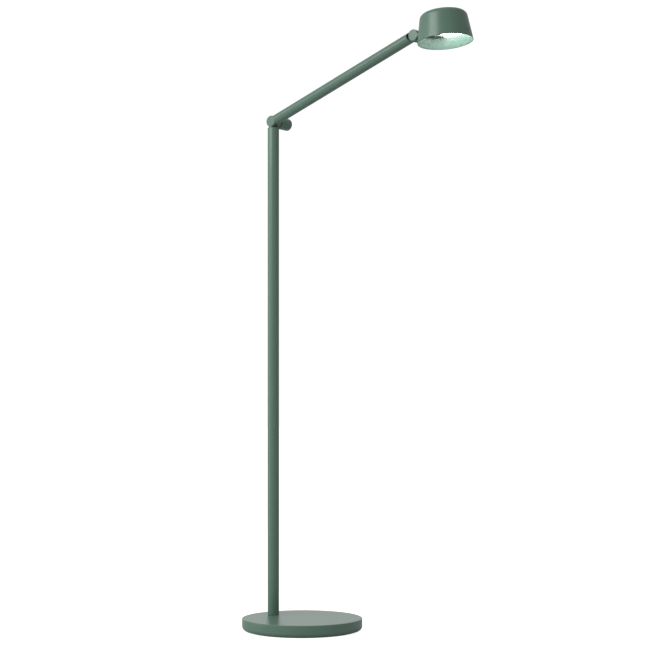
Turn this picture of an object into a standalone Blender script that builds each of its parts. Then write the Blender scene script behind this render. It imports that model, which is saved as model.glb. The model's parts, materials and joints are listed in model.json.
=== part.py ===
"""Adjustable arm floor lamp: the design solids, their sizes and their joint axes.

Units are metres and +Z is up.  The origin is the centre of the underside of the round base.
+X runs from the pole towards the base's centre, which is also the way the arm reaches out.
Both hinges turn about Y, the pole's swivel turns about Z, and the button slides in the shade's wall.
"""
import math

import bmesh
import bpy
from mathutils import Matrix, Vector

OBJECT_NAME = "arm_floor_lamp"

# Clearances.
GAP = 0.0003          # between pieces that touch
LOOSE = 0.0006        # round a piece that is only guided

# Base.
BASE_RADIUS = 0.1326
BASE_HEIGHT = 0.0275
BASE_EDGE_TOP = 0.0012
BASE_EDGE_BOTTOM = 0.0095
BASE_WALL = 0.0015
PAD_THICKNESS = 0.0020
PAD_PROUD = 0.0010
PLATE_THICKNESS = 0.0020
WEIGHT_RADIUS = 0.1050
POLE_OFFSET = 0.0825
CORD_HOLE_RADIUS = 0.0055
CORD_RADIUS = 0.0035
CORD_HEIGHT = 0.0140

# Pole.
POLE_RADIUS = 0.0128
POLE_BORE = 0.0113
ELBOW_HEIGHT = 1.1310
POLE_TOP_DROP = 0.0142    # from the elbow's axis down to the pole's top
BUSH_LENGTH = 0.0320
COLLAR_RADIUS = 0.0105     # the swivel head's collar, set back from the pole's side
COLLAR_BOTTOM = 0.0135     # from the elbow's axis down to the collar's underside

# Barrels, the short cylinders that hold both hinges.
BARREL_RADIUS = 0.0125
BARREL_FRONT = -0.0062
BARREL_REAR = 0.0137
BARREL_EDGE = 0.0020
STUD_RADIUS = 0.0030
POST_RADIUS = 0.0055

# Arm.
ARM_PLANE = -0.0010       # the arm's centre line lies this far along Y from the pole's axis
ARM_RADIUS = 0.0114
ARM_BORE = 0.0100
ARM_LENGTH = 0.4058       # from the elbow's axis to the head's axis
ARM_RISE = 19.7           # degrees above level
TONGUE_THICKNESS = 0.0040
TONGUE_HALF = 0.0060
TONGUE_EYE = 0.0095
WASHER_THICKNESS = 0.0005
WASHER_RADIUS = 0.0088

# Knobs behind the barrels.
KNOB_START = 0.0150
KNOB_END = 0.0524
KNOB_RADIUS = 0.0135
HEAD_KNOB_END = 0.0250
KNOB_EDGE = 0.0035

# Head.  Heights are above the shade's mouth, along the shade's own axis.
HEAD_TIP = 5.3            # degrees, mouth turned outwards
SHADE_AXIS = 0.0755       # from the head's hinge to the shade's axis
MOUTH_DROP = 0.0312       # from the head's hinge down to the mouth
MOUTH_RADIUS = 0.0580
SHADE_HEIGHT = 0.0610
SHADE_TAPER = 9.3         # degrees
SHADE_SHOULDER = 0.0120
SHADE_CROWN = 0.0010
SHADE_WALL = 0.0015
NECK_RADIUS = 0.0060
NECK_THREAD = 0.0045
DIFFUSER_HEIGHT = 0.0255
DIFFUSER_RADIUS = 0.0400
HOUSING_EDGE = -0.0250     # the lens stops here, and the black driver housing starts
SKIRT_RADIUS = 0.0512
SKIRT_THICKNESS = 0.0010
BUTTON_HEIGHT = 0.0155
BUTTON_RADIUS = 0.0045
BUTTON_PROUD = 0.0012

ROUND = 24                # segments round a small turned piece
ROUND_SEEN = 36           # segments round the tubes, barrels and knobs
ROUND_LARGE = 64          # segments round the base and the shade

# Colour, roughness and metallic value of each finish.
FINISHES = {
    "sage_paint": ((0.126, 0.226, 0.178), 0.42, 0.0),
    "cast_iron": ((0.06, 0.06, 0.06), 0.70, 0.8),
    "zinc_steel": ((0.55, 0.55, 0.56), 0.35, 1.0),
    "brass": ((0.72, 0.55, 0.25), 0.30, 1.0),
    "aluminium": ((0.70, 0.70, 0.71), 0.38, 1.0),
    "black_plastic": ((0.02, 0.02, 0.02), 0.50, 0.0),
    "white_plastic": ((0.85, 0.85, 0.84), 0.45, 0.0),
    "nylon": ((0.06, 0.06, 0.06), 0.40, 0.0),
    "rubber": ((0.03, 0.03, 0.03), 0.85, 0.0),
    "circuit_board": ((0.80, 0.82, 0.80), 0.50, 0.0),
    "frosted_lens": ((0.93, 0.93, 0.90), 0.55, 0.0),
}

collection = None
cutters = None


def prepare_scene():
    """Empty the scene and make the collection of pieces and the one of cutters."""
    global collection, cutters
    for old in list(bpy.data.objects):
        bpy.data.objects.remove(old, do_unlink=True)
    collection = bpy.data.collections.new(OBJECT_NAME)
    cutters = bpy.data.collections.new("cutters")
    for group in (collection, cutters):
        bpy.context.scene.collection.children.link(group)


def finish_material(piece, finish):
    """Give a piece its own material, of one of the finishes."""
    colour, roughness, metallic = FINISHES[finish]
    material = bpy.data.materials.new(piece.name + "_" + finish)
    material.use_nodes = True
    shader = material.node_tree.nodes["Principled BSDF"]
    shader.inputs["Base Color"].default_value = (*colour, 1.0)
    shader.inputs["Roughness"].default_value = roughness
    shader.inputs["Metallic"].default_value = metallic
    piece.data.materials.append(material)


def place(piece, parent, location=(0.0, 0.0, 0.0), turn=(0.0, 0.0, 0.0)):
    """Set a piece's place under its parent; the turns are in degrees."""
    piece.parent = parent
    piece.location = location
    piece.rotation_euler = [math.radians(angle) for angle in turn]
    return piece


def empty(name, parent, location, turn=(0.0, 0.0, 0.0)):
    """An empty that carries a moving body, on its joint's axis."""
    carrier = bpy.data.objects.new(name, None)
    carrier.empty_display_size = 0.02
    collection.objects.link(carrier)
    return place(carrier, parent, location, turn)


def smooth(mesh):
    """Shade round faces smooth and keep the edges sharper than 35 degrees."""
    mesh.shade_smooth()
    mesh.set_sharp_from_angle(angle=math.radians(35.0))


def arc(centre, radius, start, end, count=6):
    """Points of an arc in the (radius, height) plane; angles in degrees, from +radius to +height."""
    points = []
    for step in range(count + 1):
        angle = math.radians(start + (end - start) * step / count)
        points.append((centre[0] + radius * math.cos(angle), centre[1] + radius * math.sin(angle)))
    return points


def turned(name, outline, finish, steps=ROUND, ring=False, group=None):
    """A turned piece about its own Z.

    The outline lists (radius, height) down the outer side.  A solid's outline starts and ends
    on the axis; a ring's goes on up the bore and is closed.
    """
    mesh = bpy.data.meshes.new(name)
    points = [(radius, 0.0, height) for radius, height in outline]
    edges = [(index, index + 1) for index in range(len(points) - 1)]
    if ring:
        edges.append((len(points) - 1, 0))
    mesh.from_pydata(points, edges, [])
    piece = bpy.data.objects.new(name, mesh)
    (group or collection).objects.link(piece)
    screw = piece.modifiers.new("turn", "SCREW")
    screw.angle = math.tau
    screw.steps = steps
    screw.render_steps = steps
    screw.use_merge_vertices = True
    screw.merge_threshold = 0.00001
    screw.use_smooth_shade = True
    if finish:
        finish_material(piece, finish)
    return piece


def tube(name, outer, bore, top, bottom, finish, steps=ROUND):
    """A plain ring or tube about Z."""
    outline = [(outer, top), (outer, bottom), (bore, bottom), (bore, top)]
    return turned(name, outline, finish, steps, ring=True)


def rod(name, radius, top, bottom, finish, steps=ROUND, edge=0.0):
    """A plain solid cylinder about Z, with its ends rounded by edge."""
    if edge:
        outline = [(0.0, top)]
        outline += arc((radius - edge, top - edge), edge, 90.0, 0.0, 4)
        outline += arc((radius - edge, bottom + edge), edge, 0.0, -90.0, 4)
        outline += [(0.0, bottom)]
    else:
        outline = [(0.0, top), (radius, top), (radius, bottom), (0.0, bottom)]
    return turned(name, outline, finish, steps)


def block(name, size, centre, finish, group=None):
    """A box with its centre given in the piece's own space."""
    mesh = bpy.data.meshes.new(name)
    shape = bmesh.new()
    scale = Matrix.Diagonal((*size, 1.0))
    bmesh.ops.create_cube(shape, size=1.0, matrix=Matrix.Translation(Vector(centre)) @ scale)
    shape.to_mesh(mesh)
    shape.free()
    piece = bpy.data.objects.new(name, mesh)
    (group or collection).objects.link(piece)
    if finish:
        finish_material(piece, finish)
    return piece


def cylinder_cutter(name, radius, low, high, steps=ROUND):
    """A cylinder about Z, from low to high, for a boolean."""
    mesh = bpy.data.meshes.new(name)
    shape = bmesh.new()
    bmesh.ops.create_cone(
        shape, cap_ends=True, segments=steps, radius1=radius, radius2=radius, depth=high - low,
        matrix=Matrix.Translation((0.0, 0.0, (low + high) / 2.0)))
    shape.to_mesh(mesh)
    shape.free()
    tool = bpy.data.objects.new(name, mesh)
    cutters.objects.link(tool)
    return tool


def combine(piece, tool, operation="DIFFERENCE"):
    """Cut a piece with a tool, or join the tool to it."""
    if tool.name not in cutters.objects:
        cutters.objects.link(tool)
        collection.objects.unlink(tool)
    tool.hide_render = True
    tool.display_type = "WIRE"
    cut = piece.modifiers.new("with_" + tool.name, "BOOLEAN")
    cut.operation = operation
    cut.solver = "EXACT"
    cut.object = tool


# Base ------------------------------------------------------------------------------------------

LEAD_OFFSET = 0.0083             # from the pole's axis to the lead's hole in the base
ALONG_Y = (-90.0, 0.0, 0.0)      # turns a piece's own +Z to +Y
ALONG_X = (0.0, 90.0, 0.0)       # turns a piece's own +Z to +X

COVER_BOTTOM = PAD_PROUD
WEIGHT_TOP = BASE_HEIGHT - BASE_WALL - GAP
PLATE_BOTTOM = PAD_THICKNESS + GAP
WEIGHT_BOTTOM = PLATE_BOTTOM + PLATE_THICKNESS + GAP
HEAD_SEAT = PLATE_BOTTOM + 0.0013     # depth of the screw heads' seats in the plate


def base_cover(parent):
    """The pressed steel cover: flat top, upright side and a lower edge that rolls in."""
    outer = [(0.0, BASE_HEIGHT)]
    outer += arc((BASE_RADIUS - BASE_EDGE_TOP, BASE_HEIGHT - BASE_EDGE_TOP), BASE_EDGE_TOP, 90, 0, 2)
    low = COVER_BOTTOM + BASE_EDGE_BOTTOM
    outer += arc((BASE_RADIUS - BASE_EDGE_BOTTOM, low), BASE_EDGE_BOTTOM, 0, -90, 5)
    inner_edge = BASE_EDGE_BOTTOM - BASE_WALL
    inner = [(BASE_RADIUS - BASE_EDGE_BOTTOM, COVER_BOTTOM + BASE_WALL)]
    inner += arc((BASE_RADIUS - BASE_EDGE_BOTTOM, low), inner_edge, -60, 0, 2)
    inner += [(BASE_RADIUS - BASE_WALL, BASE_HEIGHT - BASE_WALL), (0.0, BASE_HEIGHT - BASE_WALL)]
    cover = turned("base_cover", outer + inner, "sage_paint", ROUND_LARGE)
    hole = cylinder_cutter("cover_pole_hole", 0.0050, BASE_HEIGHT - 0.004, BASE_HEIGHT + 0.002)
    combine(cover, place(hole, parent, (-POLE_OFFSET, 0.0, 0.0)))
    lead_hole = cylinder_cutter("cover_lead_hole", 0.0020, BASE_HEIGHT - 0.004, BASE_HEIGHT + 0.002, 16)
    combine(cover, place(lead_hole, parent, (-POLE_OFFSET - LEAD_OFFSET, 0.0, 0.0)))
    cord = cylinder_cutter("cover_cord_hole", CORD_HOLE_RADIUS, 0.0, 0.02, 32)
    combine(cover, place(cord, parent, (-BASE_RADIUS + 0.006, 0.0, CORD_HEIGHT), (0.0, -90.0, 0.0)))
    place(cover, parent)


def base_weight(parent):
    """The cast disc that keeps the lamp upright, with the pole's bolt well and the cord's channel."""
    weight = rod("base_weight", WEIGHT_RADIUS, WEIGHT_TOP, WEIGHT_BOTTOM, "cast_iron", ROUND_LARGE)
    shank = cylinder_cutter("weight_bolt_hole", 0.0050, 0.0, 0.03, 32)
    combine(weight, place(shank, parent, (-POLE_OFFSET, 0.0, 0.0)))
    lead_hole = cylinder_cutter("weight_lead_hole", 0.0020, 0.0, 0.03, 16)
    combine(weight, place(lead_hole, parent, (-POLE_OFFSET - LEAD_OFFSET, 0.0, 0.0)))
    well = cylinder_cutter("weight_bolt_well", 0.0110, 0.0, 0.0170, 32)
    combine(weight, place(well, parent, (-POLE_OFFSET, 0.0, 0.0)))
    length = BASE_RADIUS - POLE_OFFSET
    channel = block("weight_cord_channel", (length, 0.0120, 0.0120), (0.0, 0.0, 0.0), None, cutters)
    centre = -POLE_OFFSET - 0.0100 - length / 2.0
    combine(weight, place(channel, parent, (centre, 0.0, CORD_HEIGHT)))
    for index, spot in enumerate(SCREW_SPOTS):
        hole = cylinder_cutter("weight_screw_hole_%d" % (index + 1), 0.0023, 0.0, 0.0165, 16)
        combine(weight, place(hole, parent, (*spot, 0.0)))
    place(weight, parent)


def three_spots(radius, first):
    """Three places round the base's axis."""
    spots = []
    for index in range(3):
        angle = math.radians(first + 120.0 * index)
        spots.append((radius * math.cos(angle), radius * math.sin(angle)))
    return spots


SCREW_SPOTS = three_spots(0.0850, 0.0)


def base_plate(parent):
    """The steel plate that closes the base from below."""
    radius = BASE_RADIUS - BASE_EDGE_BOTTOM - 0.0012
    outline = [(0.0, PLATE_BOTTOM + PLATE_THICKNESS), (radius, PLATE_BOTTOM + PLATE_THICKNESS)]
    outline += [(radius, PLATE_BOTTOM), (0.0, PLATE_BOTTOM)]
    plate = turned("base_plate", outline, "zinc_steel", ROUND_LARGE)
    for index, spot in enumerate(SCREW_SPOTS):
        hole = cylinder_cutter("plate_screw_hole_%d" % (index + 1), 0.0024, 0.0, 0.008, 16)
        combine(plate, place(hole, parent, (*spot, 0.0)))
        seat = cylinder_cutter("plate_screw_seat_%d" % (index + 1), 0.0044, 0.0, HEAD_SEAT, 16)
        combine(plate, place(seat, parent, (*spot, 0.0)))
    place(plate, parent)


def base_pad(parent):
    """The rubber disc under the base; the lamp stands on it."""
    radius = BASE_RADIUS - BASE_EDGE_BOTTOM - 0.0016
    pad = rod("base_pad", radius, PAD_THICKNESS, 0.0, "rubber", ROUND_LARGE)
    place(pad, parent)


def base_screws(parent):
    """Three screws hold the plate to the weight; their low heads lie flush in the plate."""
    for index, spot in enumerate(SCREW_SPOTS):
        head_top = HEAD_SEAT - GAP
        head_bottom = PLATE_BOTTOM
        outline = [(0.0, 0.0158), (0.0020, 0.0158), (0.0020, head_top)]
        outline += [(0.0040, head_top), (0.0040, head_bottom), (0.0, head_bottom)]
        screw = turned("base_screw_%d" % (index + 1), outline, "zinc_steel", 16)
        place(screw, parent, (*spot, 0.0))


BOLT_RADIUS = 0.0038
BOLT_REACH = 0.0160       # how far the bolt goes into the foot plug
BOLT_HEAD_RADIUS = 0.0065
BOLT_HEAD_TOP = 0.0150    # the head's upper face, above the floor
BOLT_HEAD_DEPTH = 0.0055
GLAND_RADIUS = 0.0072     # the gland's flange
GLAND_FLANGE = 0.0025
GLAND_DEPTH = 0.0060      # of the gland's sleeve, into the cover


def pole_fastening(parent):
    """The bolt and washer that clamp the pole's foot plug down on the base."""
    spot = (-POLE_OFFSET, 0.0, 0.0)
    end, head_bottom = BASE_HEIGHT + BOLT_REACH, BOLT_HEAD_TOP - BOLT_HEAD_DEPTH
    bolt = [(0.0, end), (BOLT_RADIUS, end), (BOLT_RADIUS, BOLT_HEAD_TOP)]
    bolt += [(BOLT_HEAD_RADIUS, BOLT_HEAD_TOP), (BOLT_HEAD_RADIUS, head_bottom), (0.0, head_bottom)]
    place(turned("pole_bolt", bolt, "zinc_steel", 24), parent, spot)
    washer = tube("pole_washer", 0.0100, BOLT_RADIUS + 0.0005, BOLT_HEAD_TOP + 0.0017, BOLT_HEAD_TOP + GAP,
                  "zinc_steel")
    place(washer, parent, spot)


def cord_gland(parent):
    """The bush at the back of the base where the cord comes out."""
    sleeve = CORD_HOLE_RADIUS - GAP
    outline = [(GLAND_RADIUS, GLAND_FLANGE), (GLAND_RADIUS, 0.0), (sleeve, 0.0), (sleeve, -GLAND_DEPTH)]
    outline += [(CORD_RADIUS, -GLAND_DEPTH), (CORD_RADIUS, GLAND_FLANGE)]
    gland = turned("cord_gland", outline, "black_plastic", 24, ring=True)
    place(gland, parent, (-BASE_RADIUS - GAP, 0.0, CORD_HEIGHT), (0.0, -90.0, 0.0))


# Pole ------------------------------------------------------------------------------------------

POLE_TOP = ELBOW_HEIGHT - POLE_TOP_DROP


def pole(parent):
    """The steel tube, the plug in its foot, the bush in its top and the lead inside it."""
    spot = (-POLE_OFFSET, 0.0, 0.0)
    foot = BASE_HEIGHT + GAP
    place(tube("pole_tube", POLE_RADIUS, POLE_BORE, POLE_TOP, foot, "sage_paint", ROUND_SEEN), parent, spot)
    plug = tube("pole_foot_plug", POLE_BORE - GAP, BOLT_RADIUS + GAP, foot + 0.0250, foot, "zinc_steel")
    slot_centre = (-0.0095, 0.0, foot + 0.015)
    lead_slot = block("plug_lead_slot", (0.006, 0.005, 0.04), slot_centre, None, cutters)
    combine(plug, place(lead_slot, parent, spot))
    place(plug, parent, spot)
    bush = tube("pole_top_bush", POLE_BORE - GAP, POST_RADIUS + GAP, POLE_TOP - 0.0002,
                POLE_TOP - BUSH_LENGTH, "nylon")
    place(bush, parent, spot)
    lead = rod("pole_lead", 0.0028, POLE_TOP - BUSH_LENGTH - 0.0120, foot + 0.0270, "black_plastic", 16)
    place(lead, parent, spot)


# Hinges ----------------------------------------------------------------------------------------

REAR_EDGE = 0.0006        # broken edge where a barrel and its knob meet


def barrel(name, front, rear, group=None):
    """A hinge barrel about Z, its front end rounded, before it is slotted."""
    outline = [(0.0, rear)]
    outline += arc((BARREL_RADIUS - REAR_EDGE, rear - REAR_EDGE), REAR_EDGE, 90, 0, 1)
    outline += arc((BARREL_RADIUS - BARREL_EDGE, front + BARREL_EDGE), BARREL_EDGE, 0, -90, 3)
    outline += [(0.0, front)]
    return turned(name, outline, "sage_paint", ROUND_SEEN, group=group)


SLOT_HALF = TONGUE_THICKNESS / 2.0 + WASHER_THICKNESS + 2.0 * GAP
STUD_START = BARREL_FRONT + 0.0012
INSERT_RADIUS = 0.0052    # the knobs' threaded inserts
INSERT_LENGTH = 0.0070


def slot_tools(prefix, parent, centre, low_x, low_z, high_x, high_z):
    """The cutters for a tongue's slot: a round pocket and an open box, both about Y."""
    pocket = cylinder_cutter(prefix + "_pocket", TONGUE_EYE + LOOSE, -SLOT_HALF, SLOT_HALF, 36)
    place(pocket, parent, (0.0, centre, 0.0), ALONG_Y)
    size = (high_x - low_x, 2.0 * SLOT_HALF, high_z - low_z)
    middle = ((low_x + high_x) / 2.0, centre, (low_z + high_z) / 2.0)
    opening = block(prefix + "_opening", size, middle, None, cutters)
    place(opening, parent)
    return pocket, opening


COLLAR_TOP = 0.0080       # from the elbow's axis down to where the collar starts, inside the barrel
ARM_WAY_START = 0.0040    # the collar is cut back for the arm from here on
RING_ROOM = 0.0045        # length of the post below the bush
RING_TOP = 0.0040         # the ring's groove, above the post's lower end
RING_BOTTOM = 0.0024
RING_DEPTH = 0.0010


def arm_way(parent):
    """The room the lowered arm needs beside the collar: all that lies outside the barrel there."""
    way = tube("arm_way", 0.0300, BARREL_RADIUS + 0.0002, 0.03, -0.03, None, 72)
    size = (0.0300, 0.0700, COLLAR_BOTTOM)
    side = block("arm_way_side", size, (ARM_WAY_START + 0.0150, 0.0, -COLLAR_BOTTOM / 2.0), None, cutters)
    combine(way, place(side, parent), "INTERSECT")
    return place(way, parent, turn=ALONG_Y)


def swivel_head(parent):
    """The elbow's barrel with its collar and post; it turns in the pole's top."""
    head = barrel("swivel_head", BARREL_FRONT, BARREL_REAR)
    place(head, parent, turn=ALONG_Y)
    low = -POLE_TOP_DROP - BUSH_LENGTH - RING_ROOM
    groove = POST_RADIUS - RING_DEPTH
    post = [(0.0, -COLLAR_TOP), (COLLAR_RADIUS, -COLLAR_TOP), (COLLAR_RADIUS, -COLLAR_BOTTOM)]
    post += [(POST_RADIUS, -COLLAR_BOTTOM), (POST_RADIUS, low + RING_TOP), (groove, low + RING_TOP)]
    post += [(groove, low + RING_BOTTOM), (POST_RADIUS, low + RING_BOTTOM), (POST_RADIUS, low)]
    post += [(0.0, low)]
    stem = turned("swivel_post", post, None, ROUND_SEEN, group=cutters)
    combine(stem, arm_way(parent))
    combine(head, place(stem, parent), "UNION")
    tools = slot_tools("elbow_slot", parent, ARM_PLANE, -TONGUE_HALF - LOOSE, -0.0090, 0.03, 0.03)
    for tool in tools:
        combine(head, tool)
    bore = cylinder_cutter("elbow_bore", STUD_RADIUS + GAP, STUD_START - GAP, 0.03, 32)
    combine(head, place(bore, parent, turn=ALONG_Y))
    lead_way = cylinder_cutter("post_lead_way", 0.0030, low - 0.01, -0.0060, 24)
    combine(head, place(lead_way, parent))
    ring_high = low + RING_TOP - GAP
    ring = tube("swivel_ring", 0.0085, groove + GAP, ring_high, ring_high - 0.0010, "zinc_steel")
    place(ring, parent)


def hinge_hardware(prefix, parent, centre):
    """The stud and the two friction washers in a barrel."""
    stud = rod(prefix + "_stud", STUD_RADIUS, KNOB_START + INSERT_LENGTH, STUD_START, "zinc_steel")
    place(stud, parent, turn=ALONG_Y)
    sides = {"front": -1.0, "rear": 1.0}
    for side, sign in sides.items():
        middle = centre + sign * (TONGUE_THICKNESS / 2.0 + GAP + WASHER_THICKNESS / 2.0)
        name = "%s_%s_washer" % (prefix, side)
        washer = tube(name, WASHER_RADIUS, STUD_RADIUS + GAP, WASHER_THICKNESS / 2.0,
                      -WASHER_THICKNESS / 2.0, "nylon")
        place(washer, parent, (0.0, middle, 0.0), ALONG_Y)
    start = BARREL_REAR + GAP
    spring = tube(prefix + "_spring_washer", 0.0080, STUD_RADIUS + GAP, KNOB_START - GAP, start,
                  "zinc_steel")
    place(spring, parent, turn=ALONG_Y)


def knob_shell(name, radius, end, parent):
    """A smooth round knob, hollow at its front for the threaded insert."""
    outline = arc((radius - KNOB_EDGE, end - KNOB_EDGE), KNOB_EDGE, 90, 0, 4)
    outline += arc((radius - REAR_EDGE, KNOB_START + REAR_EDGE), REAR_EDGE, 0, -90, 1)
    hollow, hollow_end = INSERT_RADIUS + GAP, KNOB_START + INSERT_LENGTH + 0.0005
    outline += [(hollow, KNOB_START), (hollow, hollow_end), (0.0, hollow_end)]
    knob = turned(name, [(0.0, end)] + outline, "sage_paint", ROUND_SEEN)
    return place(knob, parent, turn=ALONG_Y)


def knob_insert(name, parent):
    """The brass threaded insert in a knob's front."""
    insert = tube(name, INSERT_RADIUS, STUD_RADIUS + GAP, KNOB_START + INSERT_LENGTH, KNOB_START + GAP, "brass")
    return place(insert, parent, turn=ALONG_Y)


# Arm -------------------------------------------------------------------------------------------

PLUG_START = 0.0160       # the tongue's plug, from the hinge's axis into the arm
PLUG_END = 0.0380
LOCK_SPOT = 0.0290        # the lock screw, from the hinge's axis
LEAD_START = 0.0420       # the lead, from the hinge's axis


def arm(parent):
    """The arm's tube, coped round both barrels, with a tongue in each end and the lead inside."""
    reach = 0.0030
    tube_piece = tube("arm_tube", ARM_RADIUS, ARM_BORE, ARM_LENGTH - reach, reach, "sage_paint", ROUND_SEEN)
    place(tube_piece, parent, turn=ALONG_X)
    for name, spot in (("elbow", 0.0), ("head", ARM_LENGTH)):
        cope = cylinder_cutter("arm_cope_" + name, BARREL_RADIUS + LOOSE, -0.03, 0.03, ROUND_SEEN)
        combine(tube_piece, place(cope, parent, (spot, 0.0, 0.0), ALONG_Y))
        lock = cylinder_cutter("arm_lock_hole_" + name, 0.0022, -0.03, 0.0, 24)
        inward = LOCK_SPOT if name == "elbow" else -LOCK_SPOT
        combine(tube_piece, place(lock, parent, (spot + inward, 0.0, 0.0)))
    tongue("elbow_tongue", parent, 0.0, 1.0)
    tongue("head_tongue", parent, ARM_LENGTH, -1.0)
    lead = rod("arm_lead", 0.0026, ARM_LENGTH - LEAD_START, LEAD_START, "black_plastic", 16)
    place(lead, parent, turn=ALONG_X)


def tongue(name, parent, spot, sign):
    """A flat eye on a round plug; the plug fills the arm's end and the eye sits in a barrel."""
    carrier_turn = (0.0, 90.0 * sign, 0.0)
    plug = rod(name, ARM_BORE - GAP, PLUG_END, PLUG_START, "zinc_steel", ROUND)
    place(plug, parent, (spot, 0.0, 0.0), carrier_turn)
    eye = cylinder_cutter(name + "_eye", TONGUE_EYE, -TONGUE_THICKNESS / 2, TONGUE_THICKNESS / 2, 32)
    combine(plug, place(eye, parent, (spot, 0.0, 0.0), ALONG_Y), "UNION")
    size = (0.0200, TONGUE_THICKNESS, 2.0 * TONGUE_HALF)
    bar = block(name + "_bar", size, (spot + sign * 0.0100, 0.0, 0.0), None, cutters)
    combine(plug, place(bar, parent), "UNION")
    bore = cylinder_cutter(name + "_bore", STUD_RADIUS + GAP, -0.02, 0.02, 32)
    combine(plug, place(bore, parent, (spot, 0.0, 0.0), ALONG_Y))
    lead_way = cylinder_cutter(name + "_lead_way", 0.0024, PLUG_START - 0.0015, 0.05, 20)
    combine(plug, place(lead_way, parent, (spot, 0.0, 0.0055), carrier_turn))
    lock = cylinder_cutter(name + "_lock_hole", 0.0020, -0.03, -0.0040, 24)
    combine(plug, place(lock, parent, (spot + sign * LOCK_SPOT, 0.0, 0.0)))
    screw = rod(name.replace("tongue", "lock_screw"), 0.0017, -0.0045, -ARM_RADIUS + 0.0004,
                "zinc_steel", 24)
    place(screw, parent, (spot + sign * LOCK_SPOT, 0.0, 0.0))


# Head ------------------------------------------------------------------------------------------

TAPER = math.tan(math.radians(SHADE_TAPER))
NECK_ENTRY = 0.0276       # height of the neck's hole above the mouth


def shade_radius(height):
    """The outer radius of the shade's straight wall."""
    return MOUTH_RADIUS - height * TAPER


def shade_outline(inset):
    """Half of the shade's section, from the crown down to the mouth, moved inwards by inset."""
    lean = math.radians(SHADE_TAPER)
    top = SHADE_HEIGHT - SHADE_CROWN
    shoulder_height = top - SHADE_SHOULDER
    reach = MOUTH_RADIUS * math.cos(lean) - SHADE_SHOULDER - shoulder_height * math.sin(lean)
    centre = (reach / math.cos(lean), shoulder_height)
    points = [(0.0, SHADE_HEIGHT - inset), (centre[0] * 0.5, SHADE_HEIGHT - inset - SHADE_CROWN * 0.25)]
    points += arc(centre, SHADE_SHOULDER - inset, 90.0, SHADE_TAPER, 5)
    points += [(MOUTH_RADIUS - inset / math.cos(lean), 0.0)]
    return points


def shade(parent, wall_carrier):
    """The spun shade: a tapered drum with a round shoulder, open below."""
    outline = shade_outline(0.0) + list(reversed(shade_outline(SHADE_WALL)))
    cup = turned("shade", outline, "sage_paint", ROUND_LARGE)
    neck_hole = cylinder_cutter("shade_neck_hole", NECK_THREAD + GAP, -0.006, 0.006)
    combine(cup, place(neck_hole, wall_carrier))
    button_hole = cylinder_cutter("shade_button_hole", BUTTON_RADIUS + GAP, -0.006, 0.006)
    spot = (shade_radius(BUTTON_HEIGHT), 0.0, BUTTON_HEIGHT)
    combine(cup, place(button_hole, parent, spot, (0.0, 90.0 - SHADE_TAPER, 0.0)))
    place(cup, parent)


def head_barrel(parent, wall_carrier):
    """The head's barrel and the neck that holds the shade."""
    head = barrel("head_barrel", BARREL_FRONT, BARREL_REAR)
    place(head, parent, turn=ALONG_Y)
    root = NECK_LENGTH - NECK_ROOT
    neck = [(0.0, root), (NECK_RADIUS, root), (NECK_RADIUS, GAP), (NECK_THREAD, GAP)]
    neck += [(NECK_THREAD, -THREAD_LENGTH), (0.0, -THREAD_LENGTH)]
    stem = turned("neck_stem", neck, None, ROUND, group=cutters)
    combine(head, place(stem, wall_carrier), "UNION")
    tools = slot_tools("head_slot", parent, ARM_PLANE, -0.03, -0.03, 0.0021, 0.03)
    for tool in tools:
        combine(head, tool)
    bore = cylinder_cutter("head_bore", STUD_RADIUS + GAP, STUD_START - GAP, 0.03, 32)
    combine(head, place(bore, parent, turn=ALONG_Y))
    lead_way = cylinder_cutter("neck_lead_way", 0.0028, -0.02, root - 0.0020, 16)
    combine(head, place(lead_way, wall_carrier))


NECK_DROP = MOUTH_DROP - NECK_ENTRY
NECK_RUN = SHADE_AXIS - shade_radius(NECK_ENTRY)
NECK_LENGTH = math.hypot(NECK_RUN, NECK_DROP)
NECK_ROOT = 0.0060        # where the neck starts, from the hinge's axis, inside the barrel
THREAD_LENGTH = 0.0095    # of the neck's thread, inwards from the shade's wall


def neck_fastening(wall_carrier):
    """The washer and nut on the neck's thread, inside the shade."""
    inside = -SHADE_WALL - GAP
    washer = tube("neck_washer", 0.0078, NECK_THREAD + GAP, inside - 0.0006, inside - 0.0016, "zinc_steel")
    place(washer, wall_carrier)
    nut = rod("neck_nut", 0.0072, inside - 0.0019, inside - 0.0059, "zinc_steel", 6)
    thread = cylinder_cutter("neck_nut_thread", NECK_THREAD + GAP, -0.02, 0.0)
    combine(nut, place(thread, wall_carrier))
    place(nut, wall_carrier)


LENS_THICKNESS = 0.0020
BOARD_LOW = DIFFUSER_HEIGHT + LENS_THICKNESS + 0.0100
BOARD_HIGH = BOARD_LOW + 0.0016
SINK_LOW = BOARD_HIGH + GAP
SINK_HIGH = SINK_LOW + 0.0040
LENS_RADIUS = DIFFUSER_RADIUS - 0.0015
LIP = 0.0015              # the bezel's lip under the lens
FIN_COUNT = 8
REFLECTOR_RADIUS = 0.0378 # outside
REFLECTOR_WIDE = 0.0365   # inside, over the lens
REFLECTOR_NARROW = 0.0300 # inside, under the board


def cut_side(piece, parent, edge, side):
    """Cut off what a piece of the light unit has beyond edge along X; side is -1 or 1."""
    reach = 0.0700
    size = (reach, 2.0 * reach, 2.0 * reach)
    name = piece.name + "_side"
    tool = block(name, size, (edge + side * reach / 2.0, 0.0, 0.0), None, cutters)
    combine(piece, place(tool, parent))


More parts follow.
